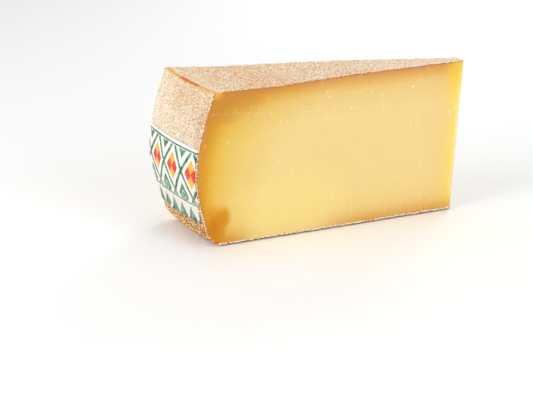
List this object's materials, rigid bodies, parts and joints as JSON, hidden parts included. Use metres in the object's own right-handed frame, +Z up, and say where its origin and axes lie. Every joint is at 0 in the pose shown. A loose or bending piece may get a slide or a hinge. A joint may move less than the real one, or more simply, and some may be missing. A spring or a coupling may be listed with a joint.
{
  "type": "hard cheese wedge with paper band",
  "caption": "Wedge of pressed hard mountain cheese cut from a wheel, with two smooth cut faces, a grainy rind, a swelling heel and a printed paper band.",
  "frame": {"origin": "on the ground under the middle of the part's box, with the wedge lying on its flat side", "axes": "+X from the heel to the tip along the foot of the front cut, +Y from the front cut to the back cut, +Z up through the wheel's height"},
  "size_m": [0.2046, 0.081, 0.1059],
  "materials": {
    "cheese_paste": "satin, waxy cut face, darker amber near the rind",
    "cheese_rind": "matte, grainy, sandy tan with brown pits",
    "crystals": "matte, small white ripening crystals",
    "band_paper": "matte off-white paper with green, red and yellow print"
  },
  "bodies": {
    "root": {"cheese_wedge": "cheese_paste", "paper_band": "band_paper"}
  },
  "joints": []
}
